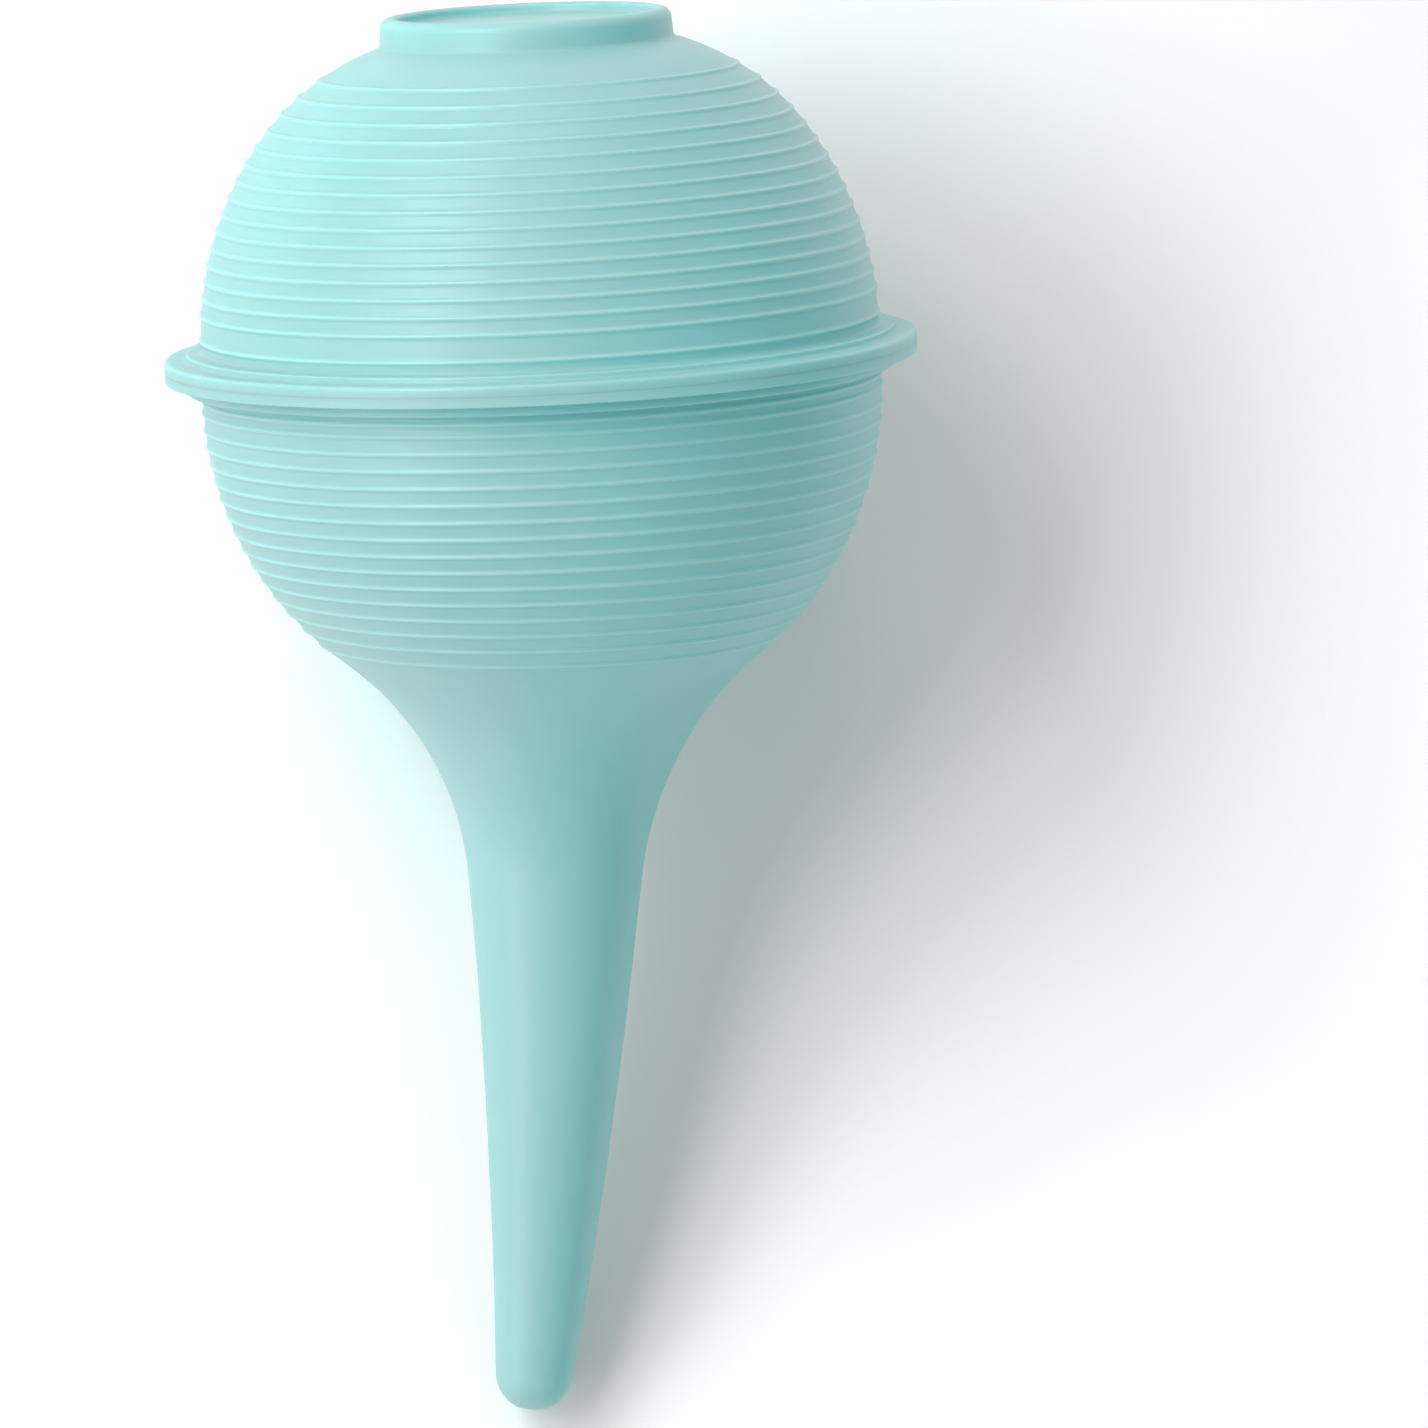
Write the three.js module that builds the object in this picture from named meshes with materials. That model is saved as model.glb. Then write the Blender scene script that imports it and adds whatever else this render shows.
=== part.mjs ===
// Nasal aspirator: a soft two-part bulb syringe standing on its foot ring.
// Millimetres. +Z runs along the bulb's axis from the foot ring to the nozzle.
// The origin is the centre of the plane that the foot ring rests on.
// The nozzle has a gentle set towards +X.

import * as THREE from 'three';

// ---- driving dimensions ----

const SEGMENTS = 40; // facets around the axis

// bulb: two half spheres with a short straight band between their centres
const BULB_RADIUS = 25.93; // over the rib crests
const RIB_HEIGHT = 0.15; // crest above the plain surface
const BASE_RADIUS = BULB_RADIUS - RIB_HEIGHT;
const WALL = 1.6;
const INNER_RADIUS = BASE_RADIUS - WALL;
const SEAM_Z = 26; // mid-plane of the rim, where the two mouldings meet
const BACK_CENTRE_Z = SEAM_Z - 1.5;
const FRONT_CENTRE_Z = SEAM_Z + 2.8;

// ribs: evenly pitched hoops, with one odd hoop beside each collar
const RIBS_PER_HALF = 15;
const BACK_RIB_FIRST_Z = 4.4;
const BACK_RIB_PITCH = 1.185;
const BACK_RIB_PITCH_GROWTH = 0.004; // the back pitch opens slowly towards the seam
const BACK_RIB_ODD_Z = SEAM_Z - 2.28;
const FRONT_RIB_ODD_Z = SEAM_Z + 2.32;
const FRONT_RIB_FIRST_Z = SEAM_Z + 3.21;
const FRONT_RIB_PITCH = 1.316;

// rim and the stepped collar on each side of it
const RIM_RADIUS = 28.6;
const COLLAR_RADIUS = 27;
const COLLAR_EDGE = 0.14;
// distances from the seam; the rim's edge is broken wider towards the back
const BACK_SIDE = { side: -1, rim: 0.85, rimEdge: 0.25, collar: 1.36 };
const FRONT_SIDE = { side: 1, rim: 0.78, rimEdge: 0.07, collar: 1.62 };

// tongue and groove in the seam, with cement under the tongue
const KEY_INNER_RADIUS = 25.4;
const KEY_OUTER_RADIUS = 26.4;
const GROOVE_DEPTH = 1.0;
const TONGUE_LENGTH = 0.6;

// foot ring on the crown
const FOOT_OUTER_RADIUS = 11;
const FOOT_ROOT_RADIUS = 11.15; // the ring spreads a little towards the crown
const FOOT_INNER_RADIUS = 9.75;
const FOOT_RECESS = 0.8; // depth of the disc inside the ring
const FOOT_LIP = 0.6; // rounding of the outer lip
const FOOT_LIP_INNER = 0.25;
const CROWN_RADIUS = 19; // the tighter stretch between ring and dome
const CROWN_START = 52; // polar angle on the dome where it begins, degrees

// shoulder and nozzle
const SHOULDER_START = 38.4; // polar angle on the dome where it begins, degrees
const SHOULDER_RADIUS = 25;
const NOZZLE_TAPER = 5.36; // half angle, degrees
const TIP_DOME_Z = 105.15; // centre of the domed tip, before the set is put in
const TIP_BORE_RADIUS = 0.9;
const TIP_BORE_FLARE = 0.25;

// the nozzle's set: an arc towards +X; an infinite radius would be straight
const SET_START_Z = 38;
const SET_RADIUS = 545;

// ---- outline helpers: points are (radius, height) ----

const radians = THREE.MathUtils.degToRad;
const degrees = THREE.MathUtils.radToDeg;
const point = (r, z) => new THREE.Vector2(r, z);

// the crown's arc meets the back dome where its polar angle is CROWN_START
const crownR = (BASE_RADIUS - CROWN_RADIUS) * Math.sin(radians(CROWN_START));
const crownZ = BACK_CENTRE_Z - (BASE_RADIUS - CROWN_RADIUS) * Math.cos(radians(CROWN_START));
const crownTop = BACK_CENTRE_Z - BASE_RADIUS * Math.cos(radians(CROWN_START));

// an arc round (r, z); angles run from straight down (0) through outwards (90) to straight up (180)
function arc(r, z, radius, from, to, steps) {
  return Array.from({ length: steps + 1 }, (_, i) => {
    const angle = radians(from + ((to - from) * i) / steps);
    return point(r + radius * Math.sin(angle), z - radius * Math.cos(angle));
  });
}

// the bulb's outside at a height, standing proud of the plain surface by some amount
function onBulb(z, proud) {
  if (z < crownTop) {
    return point(crownR + Math.sqrt((CROWN_RADIUS + proud) ** 2 - (crownZ - z) ** 2), z);
  }
  const off = Math.max(BACK_CENTRE_Z - z, z - FRONT_CENTRE_Z, 0);
  return point(Math.sqrt((BASE_RADIUS + proud) ** 2 - off * off), z);
}

// crest and valley points through a list of rib heights, in rising order
function ribbed(heights) {
  const points = [];
  heights.forEach((z, i) => {
    points.push(onBulb(z, RIB_HEIGHT));
    if (i + 1 < heights.length) {
      points.push(onBulb((z + heights[i + 1]) / 2, 0));
    }
  });
  return points;
}

function backRibHeights() {
  const even = Array.from(
    { length: RIBS_PER_HALF },
    (_, i) => BACK_RIB_FIRST_Z + BACK_RIB_PITCH * i + BACK_RIB_PITCH_GROWTH * i * i,
  );
  return [...even, BACK_RIB_ODD_Z];
}

function frontRibHeights() {
  const even = Array.from(
    { length: RIBS_PER_HALF },
    (_, i) => FRONT_RIB_FIRST_Z + FRONT_RIB_PITCH * i,
  );
  return [FRONT_RIB_ODD_Z, ...even];
}

// one side of the collar and rim, from the bulb wall out to the seam
function rimHalf({ side, rim, rimEdge, collar }) {
  const at = (r, off) => point(r, SEAM_Z + side * off);
  return [
    at(BASE_RADIUS, collar),
    at(COLLAR_RADIUS - COLLAR_EDGE, collar),
    at(COLLAR_RADIUS, collar - COLLAR_EDGE),
    at(COLLAR_RADIUS, rim),
    at(RIM_RADIUS - rimEdge, rim),
    at(RIM_RADIUS, rim - rimEdge),
    at(RIM_RADIUS, 0),
  ];
}

// ---- outlines ----

function backOutline() {
  const ringAngle = degrees(Math.asin((FOOT_ROOT_RADIUS - crownR) / CROWN_RADIUS));
  const plainEnd = BACK_RIB_FIRST_Z - BACK_RIB_PITCH / 2;
  const ribAngle = degrees(Math.acos((crownZ - plainEnd) / CROWN_RADIUS));
  const foot = [
    point(0, FOOT_RECESS),
    point(FOOT_INNER_RADIUS, FOOT_RECESS),
    point(FOOT_INNER_RADIUS, FOOT_LIP_INNER),
    point(FOOT_INNER_RADIUS + FOOT_LIP_INNER, 0),
    point(FOOT_OUTER_RADIUS - FOOT_LIP, 0),
    point(FOOT_OUTER_RADIUS, FOOT_LIP),
  ];
  const crown = arc(crownR, crownZ, CROWN_RADIUS, ringAngle, ribAngle, 2);
  const groove = [
    point(KEY_OUTER_RADIUS, SEAM_Z),
    point(KEY_OUTER_RADIUS, SEAM_Z - GROOVE_DEPTH),
    point(KEY_INNER_RADIUS, SEAM_Z - GROOVE_DEPTH),
    point(KEY_INNER_RADIUS, SEAM_Z),
  ];
  const inside = arc(0, BACK_CENTRE_Z, INNER_RADIUS, 90, CROWN_START, 7);
  const insideCrown = arc(crownR, crownZ, CROWN_RADIUS - WALL, CROWN_START, 0, 3).slice(1);
  const end = point(0, insideCrown.at(-1).y);
  return [
    ...foot,
    ...crown,
    ...ribbed(backRibHeights()),
    ...rimHalf(BACK_SIDE),
    ...groove,
    point(INNER_RADIUS, SEAM_Z),
    ...inside,
    ...insideCrown,
    end,
  ];
}

function frontOutline() {
  // the shoulder curves the other way, round a centre outside the bulb
  const start = radians(SHOULDER_START);
  const centreR = (BASE_RADIUS + SHOULDER_RADIUS) * Math.sin(start);
  const centreZ = FRONT_CENTRE_Z + (BASE_RADIUS + SHOULDER_RADIUS) * Math.cos(start);
  const shoulder = (radius, steps) =>
    arc(centreR, centreZ, radius, -SHOULDER_START, NOZZLE_TAPER - 90, steps);

  const outerShoulder = shoulder(SHOULDER_RADIUS, 8);
  const neck = outerShoulder.at(-1);
  const taper = Math.tan(radians(NOZZLE_TAPER));
  const domeRadius = (neck.x - (TIP_DOME_Z - neck.y) * taper) * Math.cos(radians(NOZZLE_TAPER));
  const mouthRadius = TIP_BORE_RADIUS + TIP_BORE_FLARE;
  const mouthAngle = 180 - degrees(Math.asin(mouthRadius / domeRadius));
  const tip = arc(0, TIP_DOME_Z, domeRadius, 90 + NOZZLE_TAPER, mouthAngle, 6);
  const nozzle = [0.2, 0.4, 0.6, 0.8].map((t) => neck.clone().lerp(tip[0], t));

  const innerShoulder = shoulder(SHOULDER_RADIUS + WALL, 6).reverse();
  const boreStart = point(TIP_BORE_RADIUS, tip.at(-1).y - TIP_BORE_FLARE);
  const bore = [0, 0.25, 0.5, 0.75].map((t) => boreStart.clone().lerp(innerShoulder[0], t));
  const inside = arc(0, FRONT_CENTRE_Z, INNER_RADIUS, 180 - SHOULDER_START, 90, 6).slice(1);
  const tongue = [
    point(KEY_INNER_RADIUS, SEAM_Z),
    point(KEY_INNER_RADIUS, SEAM_Z - TONGUE_LENGTH),
    point(KEY_OUTER_RADIUS, SEAM_Z - TONGUE_LENGTH),
    point(KEY_OUTER_RADIUS, SEAM_Z),
  ];
  const rim = rimHalf(FRONT_SIDE).reverse();
  return [
    ...rim,
    ...ribbed(frontRibHeights()),
    ...outerShoulder,
    ...nozzle,
    ...tip,
    ...bore,
    ...innerShoulder,
    ...inside,
    point(INNER_RADIUS, SEAM_Z),
    ...tongue,
    rim[0].clone(),
  ];
}

function bondOutline() {
  const floor = SEAM_Z - GROOVE_DEPTH;
  const top = SEAM_Z - TONGUE_LENGTH;
  return [
    point(KEY_OUTER_RADIUS, floor),
    point(KEY_OUTER_RADIUS, top),
    point(KEY_INNER_RADIUS, top),
    point(KEY_INNER_RADIUS, floor),
    point(KEY_OUTER_RADIUS, floor),
  ];
}

// ---- solids ----

// turned about Z
function turned(outline) {
  return new THREE.LatheGeometry(outline, SEGMENTS).rotateX(Math.PI / 2);
}

// carries everything above SET_START_Z round the arc, keeping each section square to it
function withSet(geometry) {
  const position = geometry.attributes.position;
  for (let i = 0; i < position.count; i += 1) {
    const along = position.getZ(i) - SET_START_Z;
    if (along > 0) {
      const angle = along / SET_RADIUS;
      const reach = SET_RADIUS - position.getX(i);
      position.setX(i, SET_RADIUS - reach * Math.cos(angle));
      position.setZ(i, SET_START_Z + reach * Math.sin(angle));
    }
  }
  return geometry;
}

function mesh(name, geometry, color, roughness) {
  const material = new THREE.MeshStandardMaterial({ color, roughness, metalness: 0 });
  const part = new THREE.Mesh(geometry, material);
  part.name = name;
  return part;
}

const group = new THREE.Group();
group.add(mesh('back_shell', turned(backOutline()), 0x93d0cb, 0.55));
group.add(mesh('front_shell', withSet(turned(frontOutline())), 0x93d0cb, 0.55));
group.add(mesh('seam_bond', turned(bondOutline()), 0xa9cfc8, 0.35));

export default group;
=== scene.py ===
"""Nasal aspirator: the looks of a soft ribbed bulb syringe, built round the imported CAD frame.

Lengths in the dimensions below are millimetres; meshes are written in metres.
Outlines are lists of (radius, height) points that are turned about the bulb's axis, +Z.
"""

import math

import bpy
import numpy as np
from mathutils import Matrix, Vector, noise


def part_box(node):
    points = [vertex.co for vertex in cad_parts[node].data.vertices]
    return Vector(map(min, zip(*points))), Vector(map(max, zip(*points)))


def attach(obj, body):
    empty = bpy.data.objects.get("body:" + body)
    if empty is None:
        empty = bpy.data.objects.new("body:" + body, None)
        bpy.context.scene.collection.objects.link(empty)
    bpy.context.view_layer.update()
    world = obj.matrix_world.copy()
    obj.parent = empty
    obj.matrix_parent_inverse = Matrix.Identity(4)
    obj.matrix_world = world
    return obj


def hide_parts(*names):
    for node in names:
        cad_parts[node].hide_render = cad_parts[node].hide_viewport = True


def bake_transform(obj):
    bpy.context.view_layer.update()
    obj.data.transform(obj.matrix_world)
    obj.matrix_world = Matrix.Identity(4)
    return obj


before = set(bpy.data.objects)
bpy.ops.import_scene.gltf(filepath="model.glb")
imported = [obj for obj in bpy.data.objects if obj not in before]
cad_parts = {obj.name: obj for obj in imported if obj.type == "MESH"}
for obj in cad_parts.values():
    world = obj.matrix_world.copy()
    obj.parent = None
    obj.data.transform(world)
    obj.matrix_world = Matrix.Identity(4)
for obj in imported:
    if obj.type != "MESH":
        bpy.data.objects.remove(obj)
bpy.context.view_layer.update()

# ---- sizes taken from the frame ----

MM = 0.001
back_low, back_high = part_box("back_shell")
front_low, front_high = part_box("front_shell")
SEAM_Z = back_high.z / MM  # mid-plane of the rim
RIM_RADIUS = back_high.x / MM
TOP_Z = front_high.z / MM

# ---- driving dimensions ----

SEGMENTS = 192  # facets around the axis

# bulb: two half spheres with a short straight band between their centres
BASE_RADIUS = 25.78  # the plain surface between ribs
WALL = 1.6
INNER_RADIUS = BASE_RADIUS - WALL
BAND_BACK = 1.5  # from the seam to the back half's centre
BAND_FRONT = 2.8  # and to the front half's

# ribs: narrow rounded hoops
RIB_HEIGHT = 0.15
RIB_HALF_WIDTH = 0.3
RIBS_PER_HALF = 15
BACK_RIB_FIRST = SEAM_Z - 4.4  # distance from the seam, as with the odd ribs and the front ones
BACK_RIB_PITCH = 1.185
BACK_RIB_PITCH_GROWTH = 0.004
BACK_RIB_ODD = 2.28
FRONT_RIB_FIRST = 3.21
FRONT_RIB_PITCH = 1.316
FRONT_RIB_ODD = 2.32

# rim, with a stepped collar on each side
RIM_BACK = 0.85  # from the seam to the rim's face on the back half
RIM_FRONT = 0.78
RIM_EDGE_BACK = 0.3  # the rim's edge is rounded towards the back and crisp towards the front
RIM_EDGE_FRONT = 0.07
RIM_ROOT = 0.25  # fillet between rim and collar
COLLAR_RADIUS = 27
COLLAR_BACK = 1.36
COLLAR_FRONT = 1.62
COLLAR_EDGE = 0.14
COLLAR_ROOT = 0.3
COLLAR_RUN = 0.4  # plain wall beyond the collar, before the ribbed wall starts
SEAM_NICK = 0.01  # the hairline left where the mouldings meet

# tongue and groove
KEY_INNER_RADIUS = 25.4
KEY_OUTER_RADIUS = 26.4
GROOVE_DEPTH = 1.0
TONGUE_LENGTH = 0.6

# foot ring and crown
FOOT_OUTER_RADIUS = 11
FOOT_ROOT_RADIUS = 11.15
FOOT_INNER_RADIUS = 9.75
FOOT_RECESS = 0.8
FOOT_LIP = 0.8
FOOT_LIP_INNER = 0.35
FOOT_ROOT = 0.45  # fillet from ring to crown
RIBBED_INNER_RADIUS = FOOT_ROOT_RADIUS + FOOT_ROOT * 1.2  # where the ribbed wall ends on the crown
RECESS_ROOT = 0.4
CROWN_RADIUS = 19
CROWN_START = 52  # polar angle on the dome, degrees

# shoulder and nozzle
SHOULDER_START = 38.4
SHOULDER_RADIUS = 25
NOZZLE_TAPER = 5.36
TIP_DOME_Z = 105.15  # centre of the domed tip, before the set is put in
TIP_BORE_RADIUS = 0.9
TIP_BORE_FLARE = 0.25
TIP_MOUTH_RADIUS = 1.3  # where the dome ends; the flare's fillet needs this much room

# the nozzle's gentle set towards +X
SET_START_Z = 38
SET_RADIUS = 545


# ---- outline helpers ----


def arc(r, z, radius, start, end, step=0.25):
    """Points round (r, z); 0 degrees is straight down, 90 outwards, 180 straight up."""
    length = abs(math.radians(end - start)) * radius
    count = max(3, math.ceil(length / step))
    points = []
    for i in range(count + 1):
        angle = math.radians(start + (end - start) * i / count)
        points.append((r + radius * math.sin(angle), z - radius * math.cos(angle)))
    return points


def rounded(corners, step=0.3):
    """A polyline through (r, z, fillet) corners, with each corner rounded to its fillet radius."""
    points = [corners[0][:2]]
    for before, here, after in zip(corners, corners[1:], corners[2:]):
        a, b, c = (np.array(p[:2], float) for p in (before, here, after))
        u = (a - b) / np.linalg.norm(a - b)
        v = (c - b) / np.linalg.norm(c - b)
        half = math.acos(np.clip(u @ v, -1, 1)) / 2
        if here[2] == 0 or math.cos(half) < 1e-4:
            points.append(tuple(b))
            continue
        reach = here[2] / math.tan(half)
        centre = b + (u + v) / np.linalg.norm(u + v) * here[2] / math.sin(half)
        first = b + u * reach - centre
        last = b + v * reach - centre
        turn = math.pi - 2 * half
        side = np.sign(first[0] * last[1] - first[1] * last[0])
        count = max(4, math.ceil(here[2] * turn / (step / 3)))
        for i in range(count + 1):
            spin = side * turn * i / count
            cos, sin = math.cos(spin), math.sin(spin)
            x = first[0] * cos - first[1] * sin
            z = first[0] * sin + first[1] * cos
            points.append((centre[0] + x, centre[1] + z))
    points.append(corners[-1][:2])
    return points


def refined(points, step):
    """The same line with no stretch longer than step."""
    out = [points[0]]
    for a, b in zip(points, points[1:]):
        count = max(1, math.ceil(math.dist(a, b) / step))
        for i in range(1, count + 1):
            t = i / count
            out.append((a[0] + (b[0] - a[0]) * t, a[1] + (b[1] - a[1]) * t))
    return out


# ---- the bulb's wall, as a distance along the wall from the seam ----


# The back dome turns into the tighter crown at this angle from the equator, this far along the wall.
CROWN_ANGLE = math.radians(90 - CROWN_START)
CROWN_ALONG = BAND_BACK + BASE_RADIUS * CROWN_ANGLE
CROWN_CENTRE_R = (BASE_RADIUS - CROWN_RADIUS) * math.cos(CROWN_ANGLE)
CROWN_CENTRE_HEIGHT = BAND_BACK + (BASE_RADIUS - CROWN_RADIUS) * math.sin(CROWN_ANGLE)


def wall_point(along, band, side):
    """(point, outward normal) on the plain surface; side is -1 on the back half, +1 on the front."""
    if side < 0 and along > CROWN_ALONG:
        angle = CROWN_ANGLE + (along - CROWN_ALONG) / CROWN_RADIUS
        r = CROWN_CENTRE_R + CROWN_RADIUS * math.cos(angle)
        height = CROWN_CENTRE_HEIGHT + CROWN_RADIUS * math.sin(angle)
    else:
        angle = max(0.0, along - band) / BASE_RADIUS
        r = BASE_RADIUS * math.cos(angle)
        height = min(along, band) + BASE_RADIUS * math.sin(angle)
    return (r, SEAM_Z + side * height), (math.cos(angle), side * math.sin(angle))


def along_dome(height, band):
    """The distance along the wall of a rib crest on the dome or band, this height from the seam."""
    if height <= band:
        return height
    return band + BASE_RADIUS * math.asin((height - band) / (BASE_RADIUS + RIB_HEIGHT))


def along_crown(height):
    """The same for a rib crest on the crown."""
    angle = math.asin((height - CROWN_CENTRE_HEIGHT) / (CROWN_RADIUS + RIB_HEIGHT))
    return CROWN_ALONG + CROWN_RADIUS * (angle - CROWN_ANGLE)


def back_ribs():
    ribs = [along_dome(BACK_RIB_ODD, BAND_BACK)]
    for i in range(RIBS_PER_HALF):
        height = BACK_RIB_FIRST - BACK_RIB_PITCH * i - BACK_RIB_PITCH_GROWTH * i * i
        along = along_dome(height, BAND_BACK)
        ribs.append(along_crown(height) if along > CROWN_ALONG else along)
    return sorted(ribs)


def front_ribs():
    ribs = [along_dome(FRONT_RIB_ODD, BAND_FRONT)]
    for i in range(RIBS_PER_HALF):
        ribs.append(along_dome(FRONT_RIB_FIRST + FRONT_RIB_PITCH * i, BAND_FRONT))
    return ribs


def ribbed_wall(ribs, band, side, first, last):
    """The outer wall between two distances along it, with its ribs."""
    across = [-1, -0.8, -0.6, -0.4, -0.2, 0, 0.2, 0.4, 0.6, 0.8, 1]
    places = {first, last}
    for rib in ribs:
        places.update(rib + RIB_HALF_WIDTH * share for share in across)
    places = sorted(p for p in places if first <= p <= last)
    filled = [x for x, _ in refined([(p, 0) for p in places], 0.22)]
    points = []
    for along in filled:
        (r, z), normal = wall_point(along, band, side)
        lift = 0
        for rib in ribs:
            off = abs(along - rib) / RIB_HALF_WIDTH
            if off < 1:
                lift += RIB_HEIGHT * math.cos(off * math.pi / 2) ** 2
        points.append((r + normal[0] * lift, z + normal[1] * lift))
    return points


def rib_share(r, z):
    """How far up a rib a point of an outline lies: 1 on a crest, 0 between ribs or off the ribbed wall."""
    height = abs(z - SEAM_Z)
    if z > SEAM_Z:
        rise = height - BAND_FRONT
        on_ribs = height > COLLAR_FRONT + COLLAR_RUN and r > rise * math.tan(math.radians(SHOULDER_START))
        lift = math.hypot(r, max(0, rise)) - BASE_RADIUS
    elif math.atan2(height - BAND_BACK, r) < CROWN_ANGLE:
        on_ribs = height > COLLAR_BACK + COLLAR_RUN
        lift = math.hypot(r, max(0, height - BAND_BACK)) - BASE_RADIUS
    else:
        on_ribs = r > RIBBED_INNER_RADIUS
        lift = math.hypot(r - CROWN_CENTRE_R, height - CROWN_CENTRE_HEIGHT) - CROWN_RADIUS
    return lift / RIB_HEIGHT if on_ribs and 0 < lift < RIB_HEIGHT * 1.01 else 0


# ---- outlines, anticlockwise: up the outside and down the inside ----


def rim_half(side):
    """From the wall out over collar and rim to the seam."""
    if side < 0:
        collar, rim, rim_edge = COLLAR_BACK, RIM_BACK, RIM_EDGE_BACK
    else:
        collar, rim, rim_edge = COLLAR_FRONT, RIM_FRONT, RIM_EDGE_FRONT
    corners = [
        (BASE_RADIUS, collar + 0.35, 0),
        (BASE_RADIUS, collar, COLLAR_ROOT),
        (COLLAR_RADIUS, collar, COLLAR_EDGE),
        (COLLAR_RADIUS, rim, RIM_ROOT),
        (RIM_RADIUS, rim, rim_edge),
        (RIM_RADIUS, SEAM_NICK / 2, 0),
        (RIM_RADIUS - SEAM_NICK, 0, 0),
    ]
    placed = [(r, SEAM_Z + side * off, fillet) for r, off, fillet in corners]
    return refined(rounded(placed, 0.2), 0.2)


def back_outline():
    def crown_along(r):
        angle = math.acos((r - CROWN_CENTRE_R) / CROWN_RADIUS)
        return CROWN_ALONG + CROWN_RADIUS * (angle - CROWN_ANGLE)

    wall_end = crown_along(RIBBED_INNER_RADIUS)
    wall = ribbed_wall(back_ribs(), BAND_BACK, -1, COLLAR_BACK + COLLAR_RUN, wall_end)[::-1]
    ring_root, _ = wall_point(crown_along(FOOT_ROOT_RADIUS), BAND_BACK, -1)
    foot = rounded(
        [
            (0, FOOT_RECESS, 0),
            (FOOT_INNER_RADIUS, FOOT_RECESS, RECESS_ROOT),
            (FOOT_INNER_RADIUS, 0, FOOT_LIP_INNER),
            (FOOT_OUTER_RADIUS, 0, FOOT_LIP),
            ring_root + (FOOT_ROOT,),
            wall[0] + (0,),
        ]
    )
    groove = [
        (KEY_OUTER_RADIUS, SEAM_Z),
        (KEY_OUTER_RADIUS, SEAM_Z - GROOVE_DEPTH),
        (KEY_INNER_RADIUS, SEAM_Z - GROOVE_DEPTH),
        (KEY_INNER_RADIUS, SEAM_Z),
    ]
    inside = arc(0, SEAM_Z - BAND_BACK, INNER_RADIUS, 90, CROWN_START, 1.0)
    crown_z = SEAM_Z - CROWN_CENTRE_HEIGHT
    inside_crown = arc(CROWN_CENTRE_R, crown_z, CROWN_RADIUS - WALL, CROWN_START, 0, 1.0)[1:]
    return (
        refined(foot, 0.5)
        + wall[1:]
        + rim_half(-1)
        + groove
        + [(INNER_RADIUS, SEAM_Z)]
        + inside
        + inside_crown
        + [(0, inside_crown[-1][1])]
    )


def front_outline():
    start = math.radians(SHOULDER_START)
    centre_r = (BASE_RADIUS + SHOULDER_RADIUS) * math.sin(start)
    centre_z = SEAM_Z + BAND_FRONT + (BASE_RADIUS + SHOULDER_RADIUS) * math.cos(start)

    def shoulder(radius, step):
        return arc(centre_r, centre_z, radius, -SHOULDER_START, NOZZLE_TAPER - 90, step)

    wall_end = BAND_FRONT + BASE_RADIUS * math.radians(90 - SHOULDER_START)
    wall = ribbed_wall(front_ribs(), BAND_FRONT, 1, COLLAR_FRONT + COLLAR_RUN, wall_end)
    outer = shoulder(SHOULDER_RADIUS, 0.4)
    neck_r, neck_z = outer[-1]
    taper = math.radians(NOZZLE_TAPER)
    dome = (neck_r - (TIP_DOME_Z - neck_z) * math.tan(taper)) * math.cos(taper)
    mouth_angle = 180 - math.degrees(math.asin(TIP_MOUTH_RADIUS / dome))
    mouth_z = TIP_DOME_Z + math.sqrt(dome**2 - TIP_BORE_RADIUS**2)
    tip = arc(0, TIP_DOME_Z, dome, 90 + NOZZLE_TAPER, mouth_angle, 0.12)
    nozzle = refined([outer[-1], tip[0]], 0.6)
    inner = shoulder(SHOULDER_RADIUS + WALL, 1.5)[::-1]
    mouth = rounded(
        [
            tip[-1] + (0,),
            (TIP_BORE_RADIUS, mouth_z, TIP_BORE_FLARE),
            (TIP_BORE_RADIUS + 0.02, mouth_z - 1.2, 0),
        ]
    )
    bore = refined([mouth[-1], inner[0]], 2.0)
    inside = arc(0, SEAM_Z + BAND_FRONT, INNER_RADIUS, 180 - SHOULDER_START, 90, 1.0)
    tongue = [
        (KEY_INNER_RADIUS, SEAM_Z),
        (KEY_INNER_RADIUS, SEAM_Z - TONGUE_LENGTH),
        (KEY_OUTER_RADIUS, SEAM_Z - TONGUE_LENGTH),
        (KEY_OUTER_RADIUS, SEAM_Z),
    ]
    rim = rim_half(1)[::-1]
    return (
        rim
        + wall
        + outer[1:]
        + nozzle[1:]
        + tip[1:]
        + mouth[1:]
        + bore[1:]
        + inner[1:]
        + inside[1:]
        + [(INNER_RADIUS, SEAM_Z)]
        + tongue
    )


# ---- meshes ----


def with_set(co):
    """Carries everything above SET_START_Z round an arc towards +X, each section square to it."""
    along = co[:, 2] - SET_START_Z
    moved = along > 0
    angle = along[moved] / SET_RADIUS
    reach = SET_RADIUS - co[moved, 0]
    co[moved, 0] = SET_RADIUS - reach * np.cos(angle)
    co[moved, 2] = SET_START_Z + reach * np.sin(angle)
    return co


def softened(co):
    """The slight unevenness of a soft moulding: the wall wanders by a few hundredths of a millimetre."""
    for i, (x, y, z) in enumerate(co):
        r = math.hypot(x, y)
        if r < 1e-6:
            continue
        broad = noise.noise(Vector((x, y, z)) / 11)
        fine = noise.noise(Vector((x, y, z * 2.2)) / 3.5 + Vector((7, 3, 1)))
        keep_foot = min(1, max(0, (z - 0.6) / 2))
        shift = keep_foot * min(1, r / 6) * (0.07 * broad + 0.018 * fine)
        co[i, 0] += x / r * shift
        co[i, 1] += y / r * shift
    return co


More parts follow.
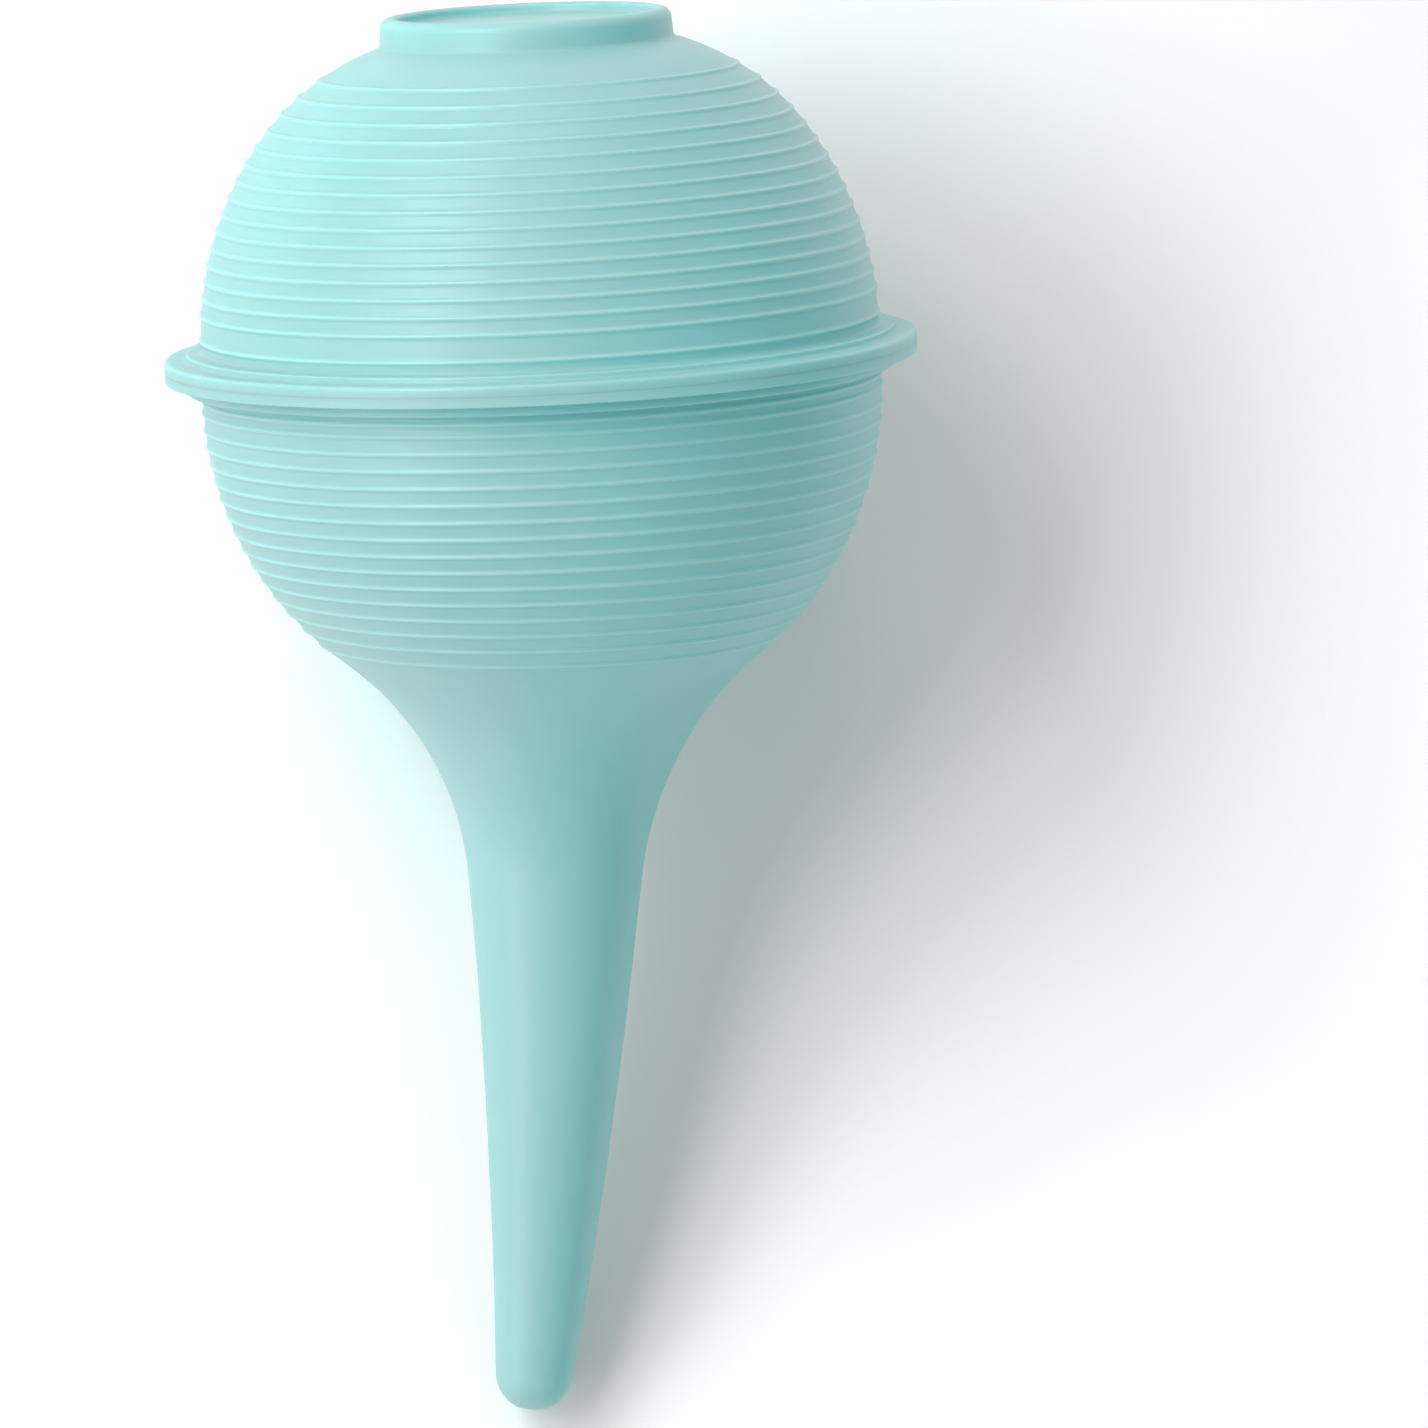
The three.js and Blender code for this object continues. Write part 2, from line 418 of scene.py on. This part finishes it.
def turned(name, outline, closed):
    """A mesh of the outline turned about Z. A closed outline is a loop; an open one ends on the axis."""
    points = np.array(outline, float)
    keep = np.ones(len(points), bool)
    keep[1:] = np.linalg.norm(np.diff(points, axis=0), axis=1) > 1e-6
    points = points[keep]
    if not closed:
        poles = points[[0, -1], 1]
        points = points[1:-1]
    count = len(points)
    shares = [rib_share(r, z) for r, z in points] * SEGMENTS
    angle = np.arange(SEGMENTS) * 2 * math.pi / SEGMENTS
    co = np.empty((SEGMENTS, count, 3))
    co[:, :, 0] = np.cos(angle)[:, None] * points[:, 0]
    co[:, :, 1] = np.sin(angle)[:, None] * points[:, 0]
    co[:, :, 2] = points[:, 1]
    co = co.reshape(-1, 3)

    index = np.arange(SEGMENTS * count).reshape(SEGMENTS, count)
    around = np.roll(index, -1, axis=0)
    if closed:
        up, around_up = np.roll(index, -1, axis=1), np.roll(around, -1, axis=1)
    else:
        up, around_up = index[:, 1:], around[:, 1:]
        index, around = index[:, :-1], around[:, :-1]
    faces = np.stack([index, around, around_up, up], axis=-1).reshape(-1, 4).tolist()
    if not closed:
        low, high = len(co), len(co) + 1
        co = np.vstack([co, [(0, 0, poles[0]), (0, 0, poles[1])]])
        shares += [0, 0]
        first, last = np.arange(SEGMENTS) * count, np.arange(SEGMENTS) * count + count - 1
        faces += [[low, int(b), int(a)] for a, b in zip(first, np.roll(first, -1))]
        faces += [[high, int(a), int(b)] for a, b in zip(last, np.roll(last, -1))]

    co = with_set(softened(co)) * MM
    mesh = bpy.data.meshes.new(name)
    mesh.from_pydata(co.tolist(), [], faces)
    mesh.attributes.new("rib_share", "FLOAT", "POINT").data.foreach_set("value", shares)
    mesh.shade_smooth()
    mesh.set_sharp_from_angle(angle=math.radians(50))
    piece = bpy.data.objects.new(name, mesh)
    bpy.context.scene.collection.objects.link(piece)
    return piece


# ---- materials ----


def new_material(name):
    material = bpy.data.materials.new(name)
    material.use_nodes = True
    nodes = material.node_tree.nodes
    return material, nodes, material.node_tree.links, nodes["Principled BSDF"]


def add(nodes, kind, **values):
    """A node with its inputs and properties set by name."""
    node = nodes.new(kind)
    for key, value in values.items():
        name = key.replace("_", " ")
        if name in node.inputs:
            node.inputs[name].default_value = value
        else:
            setattr(node, key, value)
    return node


def soft_shell_material():
    """Matte, faintly translucent soft plastic with fine grain, mottled gloss and a painted highlight: a
    paler colour on the rib crests.
    """
    material, nodes, links, shader = new_material("soft_shell")
    place = add(nodes, "ShaderNodeTexCoord").outputs["Object"]

    cloud = add(nodes, "ShaderNodeTexNoise", Scale=45, Detail=4, Roughness=0.55)
    links.new(place, cloud.inputs["Vector"])
    tint = add(nodes, "ShaderNodeValToRGB")
    tint.color_ramp.elements[0].position = 0.3
    tint.color_ramp.elements[0].color = (0.226, 0.572, 0.560, 1)
    tint.color_ramp.elements[1].position = 0.7
    tint.color_ramp.elements[1].color = (0.254, 0.606, 0.596, 1)
    links.new(cloud.outputs["Fac"], tint.inputs["Fac"])

    # painted highlight: the rib crests get a paler colour that stands in for the light they catch
    share = add(nodes, "ShaderNodeAttribute", attribute_name="rib_share")
    crest = add(nodes, "ShaderNodeMapRange", From_Min=0.15, From_Max=0.8)
    links.new(share.outputs["Fac"], crest.inputs["Value"])
    # the paler crest colour is a painted highlight, not the plastic's own tint
    painted_crest_highlight = add(nodes, "ShaderNodeMixRGB", Color2=(0.282, 0.645, 0.630, 1))
    links.new(crest.outputs["Result"], painted_crest_highlight.inputs["Fac"])
    links.new(tint.outputs["Color"], painted_crest_highlight.inputs["Color1"])
    links.new(painted_crest_highlight.outputs["Color"], shader.inputs["Base Color"])

    mottle = add(nodes, "ShaderNodeTexNoise", Scale=320, Detail=3, Roughness=0.6)
    links.new(place, mottle.inputs["Vector"])
    rough = add(nodes, "ShaderNodeMapRange", To_Min=0.34, To_Max=0.46)
    links.new(mottle.outputs["Fac"], rough.inputs["Value"])
    links.new(rough.outputs["Result"], shader.inputs["Roughness"])

    grain = add(nodes, "ShaderNodeTexNoise", Scale=4200, Detail=2, Roughness=0.6)
    links.new(place, grain.inputs["Vector"])
    fine = add(nodes, "ShaderNodeBump", Strength=0.25, Distance=0.00003)
    links.new(grain.outputs["Fac"], fine.inputs["Height"])
    flow = add(nodes, "ShaderNodeTexNoise", Scale=150, Detail=2)
    links.new(place, flow.inputs["Vector"])
    broad = add(nodes, "ShaderNodeBump", Strength=0.3, Distance=0.0002)
    links.new(flow.outputs["Fac"], broad.inputs["Height"])
    links.new(fine.outputs["Normal"], broad.inputs["Normal"])
    links.new(broad.outputs["Normal"], shader.inputs["Normal"])

    shader.inputs["IOR"].default_value = 1.47
    shader.inputs["Subsurface Weight"].default_value = 0.35
    shader.inputs["Subsurface Radius"].default_value = (0.6, 1.0, 0.95)
    shader.inputs["Subsurface Scale"].default_value = 0.0022
    return material


def seam_cement_material():
    """Clear cement squeezed out under the tongue, uneven and slightly glossy."""
    material, nodes, links, shader = new_material("seam_cement")
    place = add(nodes, "ShaderNodeTexCoord").outputs["Object"]
    smear = add(nodes, "ShaderNodeTexNoise", Scale=600, Detail=3)
    links.new(place, smear.inputs["Vector"])
    tint = add(nodes, "ShaderNodeValToRGB")
    tint.color_ramp.elements[0].color = (0.36, 0.60, 0.55, 1)
    tint.color_ramp.elements[1].color = (0.48, 0.68, 0.63, 1)
    links.new(smear.outputs["Fac"], tint.inputs["Fac"])
    links.new(tint.outputs["Color"], shader.inputs["Base Color"])
    gloss = add(nodes, "ShaderNodeMapRange", To_Min=0.2, To_Max=0.45)
    links.new(smear.outputs["Fac"], gloss.inputs["Value"])
    links.new(gloss.outputs["Result"], shader.inputs["Roughness"])
    swell = add(nodes, "ShaderNodeBump", Strength=0.4, Distance=0.0001)
    links.new(smear.outputs["Fac"], swell.inputs["Height"])
    links.new(swell.outputs["Normal"], shader.inputs["Normal"])
    shader.inputs["Subsurface Weight"].default_value = 0.5
    shader.inputs["Subsurface Scale"].default_value = 0.001
    return material


# ---- the object ----

shell = soft_shell_material()

back = turned("back_shell_soft", back_outline(), closed=False)
back.data.materials.append(shell)
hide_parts("back_shell")
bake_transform(back)

front = turned("front_shell_soft", front_outline(), closed=True)
front.data.materials.append(shell)
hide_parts("front_shell")
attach(front, "front")

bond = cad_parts["seam_bond"]
bond.data.materials.clear()
bond.data.materials.append(seam_cement_material())

# ---- camera ----

LENS = 230  # on a 36 mm sensor
FRAME_WIDTH = 108.7  # what the picture spans at the rim's distance, mm
VIEW_RISE = 6.1  # degrees by which the line of sight comes from the foot side
ROLL = 2.6  # the bulb's lean in the picture, degrees
AIM_RIGHT = 13.17  # picture centre from the rim's centre, mm
AIM_DOWN = 27.42

rim_centre = Vector((0, 0, SEAM_Z)) * MM
distance = FRAME_WIDTH * LENS / 36 * MM
rise = math.radians(VIEW_RISE)
forward = Vector((0, math.cos(rise), math.sin(rise)))
eye = rim_centre - forward * distance
level_down = (Vector((0, 0, 1)) - forward * forward.z).normalized()
level_right = forward.cross(-level_down)
roll = math.radians(ROLL)
right = level_right * math.cos(roll) + level_down * math.sin(roll)
down = level_down * math.cos(roll) - level_right * math.sin(roll)
aim = rim_centre + right * AIM_RIGHT * MM + down * AIM_DOWN * MM
look = (aim - eye).normalized()
across = look.cross(-down).normalized()
upward = across.cross(look)

lens = bpy.data.cameras.new("photo_camera")
lens.lens = LENS
lens.sensor_width = 36
lens.clip_start = 0.01
lens.clip_end = 20
camera = bpy.data.objects.new("photo_camera", lens)
bpy.context.scene.collection.objects.link(camera)
camera.matrix_world = Matrix.Translation(eye) @ Matrix(
    (across, upward, -look)
).transposed().to_4x4()
bpy.context.scene.camera = camera

# ---- the surface it lies on: tangent to the rim and to the nozzle's tip ----

TIP_HALF = 2.9  # radius of the tip
HIDDEN_RADIUS = 10 * MM  # of the patch right under the bulb, which the bulb hides from the camera
HIDDEN_FADE = 20 * MM  # where the patch has faded out
table_slope = math.asin((RIM_RADIUS - TIP_HALF) / math.hypot(TOP_Z - SEAM_Z, RIM_RADIUS - TIP_HALF))
table_normal = Vector((0, -math.cos(table_slope), -math.sin(table_slope)))
table_touch = Vector((0, RIM_RADIUS, SEAM_Z + RIM_FRONT)) * MM
bulb_centre = Vector((0, 0, SEAM_Z + BAND_FRONT)) * MM
under_bulb = bulb_centre - table_normal * (bulb_centre - table_touch).dot(table_normal)


def table_material():
    """Plain white, see-through from behind and at a glance, so that views from every side stay open.

    Right under the bulb, where the table is hidden, it lets the room's light through to the
    bulb's far side, which would be black in a view from behind.
    """
    material, nodes, links, shader = new_material("table")
    shader.inputs["Base Color"].default_value = (0.93, 0.93, 0.935, 1)
    shader.inputs["Roughness"].default_value = 0.9
    shader.inputs["Specular IOR Level"].default_value = 0.1
    clear = add(nodes, "ShaderNodeBsdfTransparent")
    mix = add(nodes, "ShaderNodeMixShader")
    facing = add(nodes, "ShaderNodeNewGeometry")
    slant = add(nodes, "ShaderNodeVectorMath", operation="DOT_PRODUCT")
    links.new(facing.outputs["True Normal"], slant.inputs[0])
    links.new(facing.outputs["Incoming"], slant.inputs[1])
    fade = add(nodes, "ShaderNodeMapRange", From_Min=0.15, From_Max=0.4)
    links.new(slant.outputs["Value"], fade.inputs["Value"])
    front_side = add(nodes, "ShaderNodeMath", operation="SUBTRACT")
    front_side.inputs[0].default_value = 1
    links.new(facing.outputs["Backfacing"], front_side.inputs[1])
    solid = add(nodes, "ShaderNodeMath", operation="MULTIPLY")
    links.new(fade.outputs["Result"], solid.inputs[0])
    links.new(front_side.outputs["Value"], solid.inputs[1])
    from_bulb = add(nodes, "ShaderNodeVectorMath", operation="DISTANCE")
    from_bulb.inputs[1].default_value = under_bulb
    links.new(facing.outputs["Position"], from_bulb.inputs[0])
    hidden_edge = add(nodes, "ShaderNodeMapRange", From_Min=HIDDEN_RADIUS, From_Max=HIDDEN_FADE)
    links.new(from_bulb.outputs["Value"], hidden_edge.inputs["Value"])
    path = add(nodes, "ShaderNodeLightPath")
    seen = add(nodes, "ShaderNodeMix", data_type="FLOAT")
    links.new(hidden_edge.outputs["Result"], seen.inputs["A"])
    links.new(path.outputs["Is Camera Ray"], seen.inputs["Factor"])
    links.new(solid.outputs["Value"], seen.inputs["B"])
    links.new(seen.outputs["Result"], mix.inputs["Fac"])
    links.new(clear.outputs["BSDF"], mix.inputs[1])
    links.new(shader.outputs["BSDF"], mix.inputs[2])
    links.new(mix.outputs["Shader"], nodes["Material Output"].inputs["Surface"])
    return material


def facing_matrix(place, normal):
    """A matrix that puts a flat thing at place with its +Z along normal."""
    return Matrix.Translation(place) @ normal.to_track_quat("Z", "Y").to_matrix().to_4x4()


TABLE_SIZE = 1.6
sheet = bpy.data.meshes.new("table")
half = TABLE_SIZE / 2
sheet.from_pydata(
    [(-half, -half, 0), (half, -half, 0), (half, half, 0), (-half, half, 0)],
    [],
    [(0, 1, 2, 3)],
)
sheet.materials.append(table_material())
table = bpy.data.objects.new("table", sheet)
bpy.context.scene.collection.objects.link(table)
table.matrix_world = facing_matrix(table_touch, table_normal)

# ---- light: a tall soft window up and to the picture's left, two weaker ones, and a white room ----

LIGHT_DISTANCE = 0.9
ROOM = 0.44


def soft_light(name, left, up, width, height, power):
    """An oval light facing the rim; left and up are the picture's, against 1 straight off the table."""
    direction = (table_normal - across * left + upward * up).normalized()
    side = upward.cross(direction).normalized()
    data = bpy.data.lights.new(name, "AREA")
    data.shape = "ELLIPSE"
    data.size = width
    data.size_y = height
    data.energy = power
    light = bpy.data.objects.new(name, data)
    bpy.context.scene.collection.objects.link(light)
    turn = Matrix((side, direction.cross(side), direction)).transposed().to_4x4()
    light.matrix_world = Matrix.Translation(rim_centre + direction * LIGHT_DISTANCE) @ turn


soft_light("key", left=0.75, up=0.32, width=0.5, height=1.0, power=7.2)
soft_light("low_left", left=1.5, up=-0.9, width=0.45, height=0.45, power=1.6)
soft_light("above", left=0, up=2.5, width=0.45, height=0.45, power=1.45)

world = bpy.data.worlds.new("room")
world.use_nodes = True
bpy.context.scene.world = world
room_nodes, room_links = world.node_tree.nodes, world.node_tree.links
ambient = room_nodes["Background"]
ambient.inputs["Color"].default_value = (1, 1, 1, 1)
ambient.inputs["Strength"].default_value = ROOM
seen_white = room_nodes.new("ShaderNodeBackground")
seen_white.inputs["Color"].default_value = (1, 1, 1, 1)
choose = room_nodes.new("ShaderNodeMixShader")
ray = room_nodes.new("ShaderNodeLightPath")
room_links.new(ray.outputs["Is Camera Ray"], choose.inputs["Fac"])
room_links.new(ambient.outputs["Background"], choose.inputs[1])
room_links.new(seen_white.outputs["Background"], choose.inputs[2])
room_links.new(choose.outputs["Shader"], room_nodes["World Output"].inputs["Surface"])

# ---- the camera's response: a little lift in the mid tones and softer highlights ----

RESPONSE = [(0.15, 0.162), (0.3, 0.358), (0.6, 0.588), (0.8, 0.735)]

view = bpy.context.scene.view_settings
view.view_transform = "Standard"
view.use_curve_mapping = True
response = view.curve_mapping.curves[3]
for light_in, light_out in RESPONSE:
    response.points.new(light_in, light_out)
view.curve_mapping.update()
